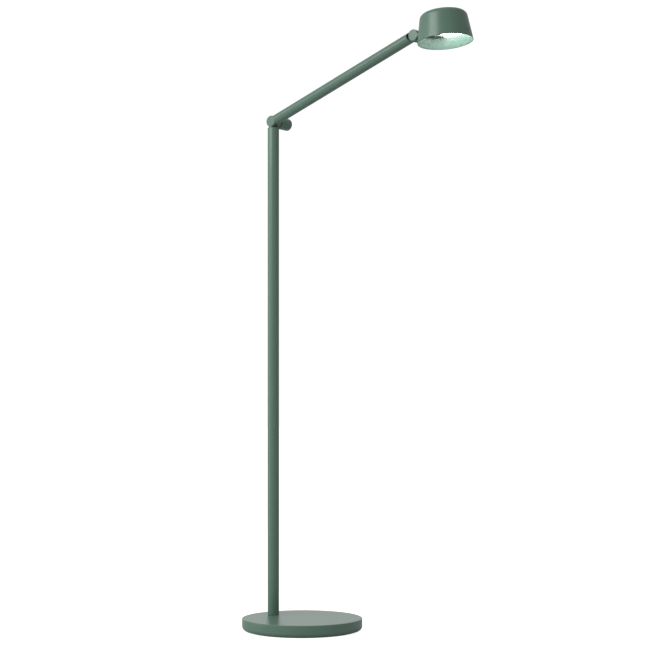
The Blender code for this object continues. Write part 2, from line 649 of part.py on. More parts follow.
def heat_sink(parent):
    """The finned aluminium disc under the crown; its post bears on the shade's roof."""
    roof = SHADE_HEIGHT - SHADE_WALL - SHADE_CROWN * 1.3 - GAP
    post = 0.0080
    radius = DIFFUSER_RADIUS - 0.0010
    sink = [(0.0, roof), (post, roof), (post, SINK_HIGH), (radius, SINK_HIGH), (radius, SINK_LOW)]
    disc = turned("heat_sink", sink + [(0.0, SINK_LOW)], "aluminium", ROUND_SEEN)
    fin_size = (0.0250, 0.0016, 0.0100)
    for index in range(FIN_COUNT):
        name = "sink_fin_%d" % (index + 1)
        fin = block(name, fin_size, (0.0190, 0.0, SINK_LOW + 0.0080), None, cutters)
        turn = 360.0 * (index + 0.5) / FIN_COUNT
        combine(disc, place(fin, parent, turn=(0.0, 0.0, turn)), "UNION")
    place(disc, parent)


def light_unit(parent):
    """The board, its reflector ring, the frosted lens, the bezel and the frosted skirt round it."""
    place(rod("led_board", 0.0330, BOARD_HIGH, BOARD_LOW, "circuit_board", ROUND_SEEN), parent)
    lens_high = DIFFUSER_HEIGHT + LENS_THICKNESS
    low, high = lens_high + GAP, BOARD_LOW - GAP
    reflector = [(REFLECTOR_RADIUS, high), (REFLECTOR_RADIUS, low), (REFLECTOR_WIDE, low)]
    reflector += [(REFLECTOR_NARROW, high)]
    ring = turned("reflector_ring", reflector, "white_plastic", ROUND_SEEN, ring=True)
    cut_side(ring, parent, HOUSING_EDGE + GAP, -1.0)
    place(ring, parent)
    lens = rod("diffuser", LENS_RADIUS, lens_high, DIFFUSER_HEIGHT, "frosted_lens", ROUND_LARGE)
    cut_side(lens, parent, HOUSING_EDGE + GAP, -1.0)
    place(lens, parent)
    outer = DIFFUSER_RADIUS + 0.0012
    inner = DIFFUSER_RADIUS - 0.0003
    lip = DIFFUSER_RADIUS - 0.0030
    low = DIFFUSER_HEIGHT - LIP
    bezel = [(outer, SINK_HIGH), (outer, low), (lip, low), (lip, DIFFUSER_HEIGHT - GAP)]
    bezel += [(inner, DIFFUSER_HEIGHT - GAP), (inner, SINK_HIGH)]
    place(turned("lens_bezel", bezel, "white_plastic", ROUND_LARGE, ring=True), parent)
    skirt_low = low + 0.0002
    skirt = tube("lens_skirt", SKIRT_RADIUS, outer + GAP, skirt_low + SKIRT_THICKNESS, skirt_low,
                 "frosted_lens", ROUND_LARGE)
    cut_side(skirt, parent, HOUSING_EDGE, -1.0)
    place(skirt, parent)


def driver_box(parent):
    """The black driver housing that fills the neck's side of the lens's round opening."""
    box = rod("driver_box", LENS_RADIUS, BOARD_LOW - GAP, DIFFUSER_HEIGHT, "black_plastic", ROUND_LARGE)
    cut_side(box, parent, HOUSING_EDGE, 1.0)
    place(box, parent)


BUTTON_DEPTH = 0.0022     # depths are inwards from the shade's outer face
SWITCH_TOP = 0.0025
SWITCH_FLOOR = 0.0042
SWITCH_BACK = 0.0070
SWITCH_RADIUS = 0.0070


def button_unit(carrier, fixed):
    """The dimmer's button in the shade's front wall and the switch behind it."""
    outline = [(0.0, BUTTON_PROUD)]
    outline += arc((BUTTON_RADIUS - 0.0006, BUTTON_PROUD - 0.0006), 0.0006, 90, 0, 3)
    outline += [(BUTTON_RADIUS, -BUTTON_DEPTH), (0.0, -BUTTON_DEPTH)]
    button = turned("dimmer_button", outline, "sage_paint")
    place(button, carrier)
    hollow = BUTTON_RADIUS + 0.0007
    cup = [(0.0, -SWITCH_FLOOR), (hollow, -SWITCH_FLOOR), (hollow, -SWITCH_TOP), (SWITCH_RADIUS, -SWITCH_TOP)]
    cup += [(SWITCH_RADIUS, -SWITCH_BACK), (0.0, -SWITCH_BACK)]
    place(turned("dimmer_switch", cup, "black_plastic"), fixed)


def build():
    """Make every piece, body by body."""
    prepare_scene()
    base = empty("base", None, (0.0, 0.0, 0.0))
    for make in (base_cover, base_weight, base_plate, base_pad, base_screws, pole_fastening,
                 cord_gland, pole):
        make(base)

    swivel = empty("swivel_axis", base, (-POLE_OFFSET, 0.0, ELBOW_HEIGHT))
    swivel_head(swivel)
    hinge_hardware("elbow", swivel, ARM_PLANE)
    knob_axis = empty("elbow_knob_axis", swivel, (0.0, 0.0, 0.0))
    knob_shell("elbow_knob", KNOB_RADIUS, KNOB_END, knob_axis)
    knob_insert("elbow_knob_insert", knob_axis)

    arm_axis = empty("arm_axis", swivel, (0.0, ARM_PLANE, 0.0), (0.0, -ARM_RISE, 0.0))
    arm(arm_axis)

    head_axis = empty("head_axis", arm_axis, (ARM_LENGTH, -ARM_PLANE, 0.0),
                      (0.0, ARM_RISE - HEAD_TIP, 0.0))
    mouth = empty("mouth_centre", head_axis, (SHADE_AXIS, ARM_PLANE, -MOUTH_DROP))
    wall_turn = (0.0, -90.0 + math.degrees(math.atan2(NECK_DROP, NECK_RUN)), 0.0)
    wall = empty("neck_entry", mouth, (-shade_radius(NECK_ENTRY), 0.0, NECK_ENTRY), wall_turn)
    head_barrel(head_axis, wall)
    hinge_hardware("head", head_axis, ARM_PLANE)
    knob_axis = empty("head_knob_axis", head_axis, (0.0, 0.0, 0.0))
    knob_shell("head_knob", BARREL_RADIUS, HEAD_KNOB_END, knob_axis)
    knob_insert("head_knob_insert", knob_axis)
    shade(mouth, wall)
    neck_fastening(wall)
    for make in (heat_sink, light_unit, driver_box):
        make(mouth)
    button_turn = (0.0, 90.0 - SHADE_TAPER, 0.0)
    button_spot = (shade_radius(BUTTON_HEIGHT), 0.0, BUTTON_HEIGHT)
    switch_seat = empty("switch_seat", mouth, button_spot, button_turn)
    button_axis = empty("button_axis", mouth, button_spot, button_turn)
    button_unit(button_axis, switch_seat)

    bpy.context.view_layer.update()
    for piece in collection.objects:
        if piece.type == "MESH" and not piece.modifiers:
            smooth(piece.data)


build()
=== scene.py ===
import json
import math

import bmesh
import bpy
from mathutils import Matrix, Vector


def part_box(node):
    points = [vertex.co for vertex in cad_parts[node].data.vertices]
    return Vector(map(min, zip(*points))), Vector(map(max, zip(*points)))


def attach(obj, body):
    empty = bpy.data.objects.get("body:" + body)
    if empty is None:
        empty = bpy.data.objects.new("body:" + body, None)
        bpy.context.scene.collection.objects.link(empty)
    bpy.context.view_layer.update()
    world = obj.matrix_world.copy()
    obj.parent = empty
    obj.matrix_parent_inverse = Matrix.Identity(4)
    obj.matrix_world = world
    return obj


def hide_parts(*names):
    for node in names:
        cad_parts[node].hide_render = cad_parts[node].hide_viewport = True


bl_info = {
    "name": "Arm Floor Lamp",
    "version": (1, 0, 0),
    "blender": (4, 5, 0),
    "location": "View3D > Sidebar > Floor Lamp",
    "description": "Builds the visible pieces of an adjustable arm floor lamp round its packed frame",
    "category": "Object",
}

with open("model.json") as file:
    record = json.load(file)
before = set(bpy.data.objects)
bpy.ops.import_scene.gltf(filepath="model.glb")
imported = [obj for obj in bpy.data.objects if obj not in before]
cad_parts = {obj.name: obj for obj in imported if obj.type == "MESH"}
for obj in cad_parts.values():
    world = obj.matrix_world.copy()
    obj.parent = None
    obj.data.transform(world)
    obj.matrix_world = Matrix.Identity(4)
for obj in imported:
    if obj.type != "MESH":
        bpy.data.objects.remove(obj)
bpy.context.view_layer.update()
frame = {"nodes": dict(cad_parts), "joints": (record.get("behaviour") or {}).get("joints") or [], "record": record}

FINE = 1e-6               # distance under which two points are one
ALONG_Y = Matrix.Rotation(-math.pi / 2, 4, "X")    # turns a piece's own +Z to +Y
TO_BACK = Matrix.Rotation(-math.pi / 2, 4, "Y")    # turns a piece's own +Z to -X
JOINTS = {joint["name"]: joint for joint in frame["joints"]}


# Places, all from the frame ----------------------------------------------------------------------

def middle(node):
    """The middle of a CAD node's box."""
    low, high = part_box(node)
    return (low + high) / 2


def along(origin, direction):
    """A place whose +Z runs along direction and whose +Y stays level."""
    up = Vector(direction).normalized()
    level = Vector((0.0, 1.0, 0.0))
    side = level.cross(up).normalized()
    turn = Matrix((side, up.cross(side), up)).transposed()
    return Matrix.Translation(origin) @ turn.to_4x4()


POLE = middle("pole_tube")
ELBOW = Vector(JOINTS["elbow_tilt"]["pos_m"])
HINGE = Vector(JOINTS["head_tilt"]["pos_m"])
ARM_SIDE = middle("arm_lead").y            # the arm's centre line along Y
BEZEL = middle("lens_bezel")
SHADE_UP = (middle("led_board") - BEZEL).normalized()


# Shapes ------------------------------------------------------------------------------------------

def section(corners, closed=False):
    """A line of (radius, height, rounding, segments) corners in the XZ plane, its corners rounded."""
    shape = bmesh.new()
    points = [shape.verts.new((corner[0], 0.0, corner[1])) for corner in corners]
    for first, second in zip(points, points[1:]):
        shape.edges.new((first, second))
    if closed:
        shape.edges.new((points[-1], points[0]))
    count = len(points)
    for index, corner in enumerate(corners):
        if len(corner) < 3 or not corner[2]:
            continue
        spot = Vector(corner[:2])
        before = Vector(corners[index - 1][:2]) - spot
        after = Vector(corners[(index + 1) % count][:2]) - spot
        bend = math.pi - before.angle(after)
        bmesh.ops.bevel(shape, geom=[points[index]], offset=corner[2] * math.tan(bend / 2),
                        offset_type="OFFSET", segments=corner[3], profile=0.5,
                        affect="VERTICES", material=-1)
    return shape


def turned(corners, steps, closed=False, longest=None):
    """A section spun a full turn round Z; edges longer than longest are first divided."""
    shape = section(corners, closed)
    if longest:
        for edge in list(shape.edges):
            cuts = int(edge.calc_length() / longest)
            if cuts:
                bmesh.ops.subdivide_edges(shape, edges=[edge], cuts=cuts)
    bmesh.ops.spin(shape, geom=shape.verts[:] + shape.edges[:], cent=(0.0, 0.0, 0.0),
                   axis=(0.0, 0.0, 1.0), angle=math.tau, steps=steps, use_merge=True)
    bmesh.ops.remove_doubles(shape, verts=shape.verts, dist=FINE)
    bmesh.ops.recalc_face_normals(shape, faces=shape.faces)
    return shape


def moved(shape, place):
    """The same shape, carried to a place."""
    bmesh.ops.transform(shape, matrix=place, verts=shape.verts)
    return shape


def cylinder(radius, low, high, steps=64):
    """A closed cylinder about Z."""
    shape = bmesh.new()
    bmesh.ops.create_cone(shape, cap_ends=True, segments=steps, radius1=radius, radius2=radius,
                          depth=high - low, matrix=Matrix.Translation((0.0, 0.0, (low + high) / 2)))
    return shape


def box_shape(low, high):
    """A box between two corners."""
    low, high = Vector(low), Vector(high)
    shape = bmesh.new()
    scale = Matrix.Diagonal((*(high - low), 1.0))
    bmesh.ops.create_cube(shape, size=1.0, matrix=Matrix.Translation((low + high) / 2) @ scale)
    return shape


def held(name, shape):
    """An object that holds a shape; the shape is used up."""
    mesh = bpy.data.meshes.new(name)
    shape.to_mesh(mesh)
    shape.free()
    piece = bpy.data.objects.new(name, mesh)
    bpy.context.scene.collection.objects.link(piece)
    return piece


def combined(shape, tool, operation="DIFFERENCE"):
    """One shape cut by another, or joined to it, as a new shape."""
    body, cutter = held("work_body", shape), held("work_tool", tool)
    step = body.modifiers.new("combine", "BOOLEAN")
    step.operation = operation
    step.solver = "EXACT"
    step.object = cutter
    bpy.context.view_layer.update()
    evaluated = body.evaluated_get(bpy.context.evaluated_depsgraph_get())
    result = bmesh.new()
    result.from_mesh(evaluated.to_mesh())
    evaluated.to_mesh_clear()
    for piece in (body, cutter):
        mesh = piece.data
        bpy.data.objects.remove(piece, do_unlink=True)
        bpy.data.meshes.remove(mesh)
    bmesh.ops.remove_doubles(result, verts=result.verts, dist=FINE)
    return result


def finished(context, name, shape, body, slot, stands_for, edge=0.0, sharp=35.0):
    """Make a piece of a shape: smooth faces, a fine edge, its finish, its body and its nodes."""
    piece = held(name, shape)
    piece.data.shade_smooth()
    piece.data.set_sharp_from_angle(angle=math.radians(sharp))
    piece.data.materials.append(finish_of(context, slot))
    if edge:
        bevel = piece.modifiers.new("edges", "BEVEL")
        bevel.width = edge
        bevel.segments = 2
        bevel.limit_method = "ANGLE"
        bevel.angle_limit = math.radians(sharp)
        bevel.use_clamp_overlap = True
        bevel.harden_normals = False
    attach(piece, body)
    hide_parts(*stands_for)
    return piece


# Finishes ----------------------------------------------------------------------------------------

class Level:
    """A shader value that takes part in sums."""

    def __init__(self, finish, socket):
        self.finish = finish
        self.socket = socket

    def worked(self, operation, first, second):
        node = self.finish.node("ShaderNodeMath", {"operation": operation}, {0: first, 1: second})
        return Level(self.finish, node.outputs[0])

    def __add__(self, other):
        return self.worked("ADD", self, other)

    def __radd__(self, other):
        return self.worked("ADD", other, self)

    def __rsub__(self, other):
        return self.worked("SUBTRACT", other, self)

    def __rmul__(self, other):
        return self.worked("MULTIPLY", other, self)

    def above(self, edge):
        """One where the value is over edge, nought elsewhere."""
        return self.worked("GREATER_THAN", self, edge)


class Finish:
    """One material, and the nodes of its pattern."""

    def __init__(self, name, **constants):
        self.material = bpy.data.materials.new(name)
        self.material.use_nodes = True
        self.tree = self.material.node_tree
        self.shader = self.tree.nodes["Principled BSDF"]
        for socket, value in constants.items():
            self.shader.inputs[socket.replace("_", " ")].default_value = value
        self.place = self.node("ShaderNodeTexCoord").outputs["Object"]

    def node(self, kind, settings=None, values=None):
        """Add a node: its settings first, then its sockets' values or links."""
        node = self.tree.nodes.new(kind)
        for name, value in (settings or {}).items():
            if name == "stops":
                self.set_stops(node.color_ramp, value)
            else:
                setattr(node, name, value)
        for socket, value in (values or {}).items():
            self.feed(node.inputs[socket], value)
        return node

    def set_stops(self, ramp, stops):
        """Set a ramp's places and grey levels."""
        for index, (spot, grey) in enumerate(stops):
            stop = ramp.elements[index] if index < 2 else ramp.elements.new(spot)
            stop.position = spot
            stop.color = (grey, grey, grey, 1.0)

    def feed(self, socket, value):
        """Link a socket, or set it."""
        if isinstance(value, Level):
            value = value.socket
        if isinstance(value, bpy.types.NodeSocket):
            self.tree.links.new(value, socket)
        else:
            socket.default_value = value

    def noise(self, scale, detail=2.0, stretch=(1.0, 1.0, 1.0), rough=0.5):
        """A noise level; stretch squeezes it along each axis."""
        mapping = self.node("ShaderNodeMapping", None, {"Vector": self.place, "Scale": stretch})
        noise = self.node("ShaderNodeTexNoise", None,
                          {"Vector": mapping.outputs[0], "Scale": scale, "Detail": detail,
                           "Roughness": rough})
        return Level(self, noise.outputs["Fac"])

    def cells(self, scale):
        """The distance to the middle of the nearest cell."""
        cells = self.node("ShaderNodeTexVoronoi", None, {"Vector": self.place, "Scale": scale})
        return Level(self, cells.outputs["Distance"])

    def eased(self, level, stops):
        """A level sent through a ramp of (place, grey) stops."""
        ramp = self.node("ShaderNodeValToRGB", {"stops": stops}, {"Fac": level})
        return Level(self, ramp.outputs["Color"])

    def mixed(self, level, first, second):
        """A colour between two, by a level."""
        node = self.node("ShaderNodeMix", {"data_type": "RGBA"},
                         {0: level, 6: (*first, 1.0), 7: (*second, 1.0)})
        return node.outputs[2]

    def layered(self, level, under, colour):
        """A colour laid over a linked one, by a level."""
        node = self.node("ShaderNodeMix", {"data_type": "RGBA"}, {0: level, 6: under, 7: (*colour, 1.0)})
        return node.outputs[2]

    def relief(self, height, depth, strength=1.0, under=None):
        """A raised pattern, depth metres high."""
        values = {"Height": height, "Distance": depth, "Strength": strength}
        if under is not None:
            values["Normal"] = under
        return self.node("ShaderNodeBump", None, values).outputs["Normal"]

    def paint(self, **links):
        """Link the shader's varying sockets, and give back the material."""
        for socket, value in links.items():
            self.feed(self.shader.inputs[socket.replace("_", " ")], value)
        return self.material


def shaded(colour, factor):
    """A colour made lighter or darker."""
    return tuple(channel * factor for channel in colour)


def satin_paint(colour, roughness):
    """Satin sage powder coat: fine orange peel, a faint clouding and tiny flecks."""
    finish = Finish("satin_sage_paint", IOR=1.5)
    cloud = finish.noise(14.0, 3.0)
    peel = finish.noise(780.0, 2.0)
    grain = finish.noise(3600.0, 2.0)
    tone = finish.mixed(cloud, shaded(colour, 0.98), shaded(colour, 1.02))
    tone = finish.layered(finish.eased(grain, ((0.60, 0.0), (0.78, 0.10))), tone, shaded(colour, 1.4))
    wear = roughness - 0.02 + 0.02 * cloud + 0.03 * grain
    bumps = finish.relief(peel, 0.00003, 0.30)
    return finish.paint(Base_Color=tone, Roughness=wear,
                        Normal=finish.relief(grain, 0.00001, 0.4, bumps))


def cast_iron():
    """Dark sand-cast iron, pitted and dull."""
    finish = Finish("cast_iron", Metallic=0.75)
    sand = finish.noise(900.0, 6.0, rough=0.65)
    cloud = finish.noise(40.0, 4.0)
    tone = finish.mixed(cloud, (0.030, 0.030, 0.032), (0.075, 0.071, 0.067))
    return finish.paint(Base_Color=tone, Roughness=0.62 + 0.2 * sand,
                        Normal=finish.relief(sand, 0.0004, 0.6))


def plated_metal(name, dark, light, roughness, stretch):
    """Bright plated or turned metal with fine drawn lines."""
    finish = Finish(name, Metallic=1.0)
    lines = finish.noise(1500.0, 3.0, stretch)
    cloud = finish.noise(90.0, 3.0)
    tone = finish.mixed(cloud, dark, light)
    return finish.paint(Base_Color=tone, Roughness=roughness + 0.12 * lines,
                        Normal=finish.relief(lines, 0.00002, 0.4))


def blasted_aluminium():
    """Bead-blasted aluminium."""
    finish = Finish("blasted_aluminium", Metallic=1.0)
    beads = finish.cells(1800.0)
    cloud = finish.noise(60.0, 3.0)
    tone = finish.mixed(cloud, (0.60, 0.60, 0.62), (0.74, 0.74, 0.75))
    return finish.paint(Base_Color=tone, Roughness=0.34 + 0.16 * cloud,
                        Normal=finish.relief(beads, 0.00003, 0.5))


def moulded_plastic(name, colour, roughness, scale=1400.0):
    """Moulded plastic with a fine spark-eroded grain."""
    finish = Finish(name)
    grain = finish.noise(scale, 3.0)
    cloud = finish.noise(50.0, 2.0)
    tone = finish.mixed(cloud, shaded(colour, 0.88), shaded(colour, 1.08))
    return finish.paint(Base_Color=tone, Roughness=roughness + 0.1 * grain,
                        Normal=finish.relief(grain, 0.00004, 0.5))


def soft_rubber():
    """Dull black rubber with a dusty bloom."""
    finish = Finish("soft_rubber", Specular_IOR_Level=0.3)
    grain = finish.noise(2200.0, 4.0)
    bloom = finish.noise(35.0, 4.0)
    tone = finish.mixed(bloom, (0.018, 0.018, 0.018), (0.045, 0.044, 0.042))
    return finish.paint(Base_Color=tone, Roughness=0.78 + 0.14 * grain,
                        Normal=finish.relief(grain, 0.00005, 0.6))


def circuit_board():
    """White solder mask with rows of small light chips."""
    finish = Finish("circuit_board")
    chips = finish.cells(180.0)
    chip = 1.0 - chips.above(0.33)
    tone = finish.layered(chip, finish.mixed(finish.noise(80.0), (0.74, 0.76, 0.74), (0.82, 0.84, 0.82)),
                          (0.75, 0.62, 0.12))
    return finish.paint(Base_Color=tone, Roughness=0.35 + 0.2 * chip, Normal=finish.relief(chip, 0.0003, 0.6))


def glowing_lens(colour, light, glow):
    """The frosted lens, lit from behind."""
    finish = Finish("glowing_lens", Roughness=0.45, Emission_Strength=glow)
    frost = finish.noise(2600.0, 2.0)
    cloud = finish.noise(45.0, 1.0)
    tone = finish.mixed(cloud, shaded(colour, 0.96), colour)
    return finish.paint(Base_Color=tone, Emission_Color=finish.mixed(cloud, shaded(light, 0.96), light),
                        Normal=finish.relief(frost, 0.00004, 0.4))


FINISHES = {}


def make_finishes(settings):
    """Make each finish once, by the record's slot names."""
    if FINISHES:
        return FINISHES
    FINISHES.update({
        "sage_paint": satin_paint(tuple(settings.paint_colour), settings.paint_roughness),
        "cast_iron": cast_iron(),
        "zinc_steel": plated_metal("zinc_steel", (0.42, 0.42, 0.43), (0.58, 0.58, 0.60), 0.26,
                                   (1.0, 1.0, 0.2)),
        "brass": plated_metal("turned_brass", (0.60, 0.43, 0.17), (0.76, 0.58, 0.27), 0.24,
                              (0.2, 1.0, 1.0)),
        "aluminium": blasted_aluminium(),
        "black_plastic": moulded_plastic("black_plastic", (0.020, 0.020, 0.021), 0.42),
        "white_plastic": moulded_plastic("white_plastic", (0.78, 0.79, 0.77), 0.38),
        "nylon": moulded_plastic("black_nylon", (0.045, 0.045, 0.047), 0.32, 900.0),
        "rubber": soft_rubber(),
        "circuit_board": circuit_board(),
        "frosted_lens": glowing_lens(tuple(settings.lens_colour), tuple(settings.light_colour),
                                      settings.lens_glow),
    })
    return FINISHES


def finish_of(context, slot):
    """The finish of one of the record's slots."""
    return make_finishes(context.scene.lamp_finishes)[slot]


# Settings ----------------------------------------------------------------------------------------

def length(name, description, default):
    """A property that holds a length in metres."""
    return bpy.props.FloatProperty(name=name, description=description, default=default, min=0.0,
                                   precision=5, subtype="DISTANCE", unit="LENGTH")


class LampSizes(bpy.types.PropertyGroup):
    """Edges and walls of the lamp's pieces."""

    base_edge: length("Base edge", "Rounding of the base's upper edge", 0.0012)
    base_roll: length("Base roll", "Rounding of the base's lower edge", 0.0095)
    sheet: length("Sheet", "Thickness of the base's and the shade's sheet steel", 0.0015)
    tube_wall: length("Tube wall", "Wall of the pole", 0.0015)
    arm_wall: length("Arm wall", "Wall of the arm's tube", 0.0014)
    fine_edge: length("Fine edge", "Broken edge of the machined pieces", 0.0002)
    barrel_edge: length("Barrel edge", "Rounding of the barrels' front ends", 0.0020)
    knob_edge: length("Knob edge", "Rounding of the knobs' outer ends", 0.0035)
    shoulder: length("Shoulder", "Rounding of the shade's shoulder", 0.0120)
    crown: length("Crown", "Rise of the shade's top at its middle", 0.0010)
    rim: length("Rim", "Rounding of the shade's mouth", 0.0006)
    shade_height: length("Shade height", "Height of the shade above its mouth", 0.0610)
    mouth_radius: length("Mouth radius", "Outer radius of the shade's mouth", 0.0580)
    shade_taper: bpy.props.FloatProperty(
        name="Shade taper", description="Lean of the shade's wall", default=math.radians(9.3),
        subtype="ANGLE", unit="ROTATION")
    lens_height: length("Lens height", "Height of the lens's lower face above the mouth", 0.0255)
    # housing_edge: where the lens stops and the black block beside it starts
    housing_edge: bpy.props.FloatProperty(
        name="Housing edge", description="Where the lens stops and the driver's housing starts",
        default=-0.0250, precision=5, subtype="DISTANCE", unit="LENGTH")


class LampFinishes(bpy.types.PropertyGroup):
    """Colours and gloss of the lamp."""

    paint_colour: bpy.props.FloatVectorProperty(
        name="Paint", description="Colour of the sage paint", size=3, subtype="COLOR",
        default=(0.118, 0.210, 0.160), min=0.0, max=1.0)
    paint_roughness: bpy.props.FloatProperty(
        name="Paint roughness", description="Roughness of the sage paint", default=0.30, min=0.0, max=1.0,
        subtype="FACTOR")
    lens_colour: bpy.props.FloatVectorProperty(
        name="Lens", description="Colour of the lit lens", size=3, subtype="COLOR",
        default=(0.95, 0.98, 0.96), min=0.0, max=1.0)
    light_colour: bpy.props.FloatVectorProperty(
        name="Light", description="Colour of the lens's light", size=3, subtype="COLOR",
        default=(1.0, 0.88, 0.95), min=0.0, max=1.0)
    lens_glow: bpy.props.FloatProperty(
        name="Lens glow", description="Strength of the lit lens", default=13.0, min=0.0)


class LampStudio(bpy.types.PropertyGroup):
    """The camera, the floor and the lights."""

    camera_turn: bpy.props.FloatProperty(
        name="Camera turn", description="The camera's bearing round the pole",
        default=math.radians(37.685), subtype="ANGLE", unit="ROTATION")
    camera_distance: length("Camera distance", "From the pole to the camera", 3.511)
    camera_height: length("Camera height", "Above the floor", 0.4853)
    camera_aside: length("Camera aside", "From the pole to the line of sight", 0.1156)
    camera_lens: bpy.props.FloatProperty(
        name="Lens", description="Focal length in millimetres", default=86.86, min=1.0, unit="CAMERA")
    camera_rise: bpy.props.FloatProperty(
        name="Rise", description="Vertical shift of the lens", default=0.1311)
    key_power: bpy.props.FloatProperty(
        name="Key light", description="Power of the broad high light on the left", default=52.0,
        subtype="POWER", unit="POWER")
    key_turn: bpy.props.FloatProperty(
        name="Key turn", description="The key light's bearing to the left of the camera",
        default=math.radians(51.0), subtype="ANGLE", unit="ROTATION")
    surround: bpy.props.FloatProperty(
        name="Surround", description="Strength of the light from all sides", default=0.42, min=0.0)
    floor_colour: bpy.props.FloatVectorProperty(
        name="Floor", description="Colour of the floor", size=3, subtype="COLOR",
        default=(0.60, 0.60, 0.60), min=0.0, max=1.0)
    floor_glow: bpy.props.FloatProperty(
        name="Floor glow", description="White added to the floor in the camera's view", default=0.90, min=0.0)
    side_power: bpy.props.FloatProperty(
        name="Side light", description="Power of the narrow light beside the lamp", default=13.0,
        subtype="POWER", unit="POWER")
    side_turn: bpy.props.FloatProperty(
        name="Side turn", description="The side light's bearing to the left of the camera",
        default=math.radians(88.0), subtype="ANGLE", unit="ROTATION")
    rear_power: bpy.props.FloatProperty(
        name="Rear light", description="Power of the low wide light behind the lamp", default=6.0,
        subtype="POWER", unit="POWER")


# Stage -------------------------------------------------------------------------------------------

AIM_HEIGHT = 0.95         # of the point on the pole's axis that the lights face
SENSOR_WIDTH = 36.0       # of the camera, in millimetres
FLOOR_RADIUS = 40.0
SEEN_WHITE = 1.05         # strength of the surround where the camera sees it


class LAMP_OT_stage(bpy.types.Operator):
    """Make the camera, the pale floor and the soft lights"""

    bl_idname = "lamp.stage"
    bl_label = "Stage"

    def execute(self, context):
        scene = context.scene
        studio = scene.lamp_studio
        scene.view_settings.view_transform = "Standard"
        turn = studio.camera_turn
        toward = Vector((math.sin(turn), -math.cos(turn), 0.0))
        right = Vector((math.cos(turn), math.sin(turn), 0.0))
        pole = Vector((POLE.x, POLE.y, 0.0))
        self.add_camera(scene, studio, pole + toward * studio.camera_distance
                        + right * studio.camera_aside + Vector((0.0, 0.0, studio.camera_height)))
        self.add_floor(studio)
        self.add_surround(scene, studio)
        aim = pole + Vector((0.0, 0.0, AIM_HEIGHT))
        # name, bearing to the left of the camera, distance, height, width and length, power
        panels = (("key_light", studio.key_turn, 2.6, 2.35, (1.9, 2.0), studio.key_power),
                  ("side_light", studio.side_turn, 2.6, 1.10, (0.6, 2.2), studio.side_power),
                  ("rear_light", math.pi, 3.0, 0.95, (3.0, 1.2), studio.rear_power))
        for name, angle, away, height, spread, power in panels:
            bearing = toward * math.cos(angle) - right * math.sin(angle)
            spot = pole + bearing * away + Vector((0.0, 0.0, height))
            self.add_light(name, spot, aim, spread, power)
        return {"FINISHED"}

    def add_camera(self, scene, studio, spot):
        """The camera, level, its frame raised by the lens's shift."""
        camera = bpy.data.objects.new("camera", bpy.data.cameras.new("camera"))
        camera.data.lens = studio.camera_lens
        camera.data.sensor_width = SENSOR_WIDTH
        camera.data.shift_y = studio.camera_rise
        camera.location = spot
        camera.rotation_euler = (math.pi / 2, 0.0, studio.camera_turn)
        scene.collection.objects.link(camera)
        scene.camera = camera

    def add_floor(self, studio):
        """A wide pale floor, white to the camera and dimmer as a source of light."""
        shape = bmesh.new()
        bmesh.ops.create_circle(shape, cap_ends=True, radius=FLOOR_RADIUS, segments=96)
        floor = held("floor", shape)
        finish = Finish("pale_floor", Roughness=0.9, Specular_IOR_Level=0.1)
        colour = tuple(studio.floor_colour)
        tone = finish.mixed(finish.noise(1.5), shaded(colour, 0.99), colour)
        white = finish.node("ShaderNodeEmission", None, {"Strength": studio.floor_glow})
        seen = finish.node("ShaderNodeLightPath").outputs["Is Camera Ray"]
        both = finish.node("ShaderNodeAddShader", None, {0: finish.shader.outputs[0], 1: white.outputs[0]})
        pick = finish.node("ShaderNodeMixShader", None,
                           {0: seen, 1: finish.shader.outputs[0], 2: both.outputs[0]})
        finish.feed(finish.tree.nodes["Material Output"].inputs["Surface"], pick.outputs[0])
        floor.data.materials.append(finish.paint(Base_Color=tone))

    def add_surround(self, scene, studio):
        """An even light from all sides, white to the camera and dimmer as a source of light."""
        world = bpy.data.worlds.new("surround")
        scene.world = world
        world.use_nodes = True
        nodes, links = world.node_tree.nodes, world.node_tree.links
        dim = nodes["Background"]
        dim.inputs["Color"].default_value = (1.0, 1.0, 1.0, 1.0)
        dim.inputs["Strength"].default_value = studio.surround
        white = nodes.new("ShaderNodeBackground")
        white.inputs["Color"].default_value = (1.0, 1.0, 1.0, 1.0)
        white.inputs["Strength"].default_value = SEEN_WHITE
        rays = nodes.new("ShaderNodeLightPath")
        pick = nodes.new("ShaderNodeMixShader")
        links.new(rays.outputs["Is Camera Ray"], pick.inputs["Fac"])
        links.new(dim.outputs["Background"], pick.inputs[1])
        links.new(white.outputs["Background"], pick.inputs[2])
        links.new(pick.outputs["Shader"], nodes["World Output"].inputs["Surface"])

    def add_light(self, name, spot, aim, spread, power):
        """A soft rectangular light that looks at a point."""
        light = bpy.data.lights.new(name, "AREA")
        light.shape = "RECTANGLE"
        light.size, light.size_y = spread
        light.energy = power
        lamp = bpy.data.objects.new(name, light)
        lamp.location = spot
        lamp.visible_camera = False
        lamp.rotation_euler = (aim - spot).to_track_quat("-Z", "Y").to_euler()
        bpy.context.scene.collection.objects.link(lamp)


# Base and pole -----------------------------------------------------------------------------------

CORD_HOLE = 0.0055        # radius of the cover's hole for the bush
CORD_HOLE_START = 0.006   # inwards from the cover's back
RIB_PITCH = 0.0060        # of the rubber pad's round ribs
RIB_START = 0.0040        # the first one, inwards from the pad's edge
RIB_HALF = 0.0010         # half the width of a groove between ribs
RIB_DEPTH = 0.0005
BUSH_SLEEVE = 0.0052      # radii of the bush's sleeve and of its bore
BUSH_BORE = 0.0035
BUSH_FLANGE = 0.0025      # thickness of its flange


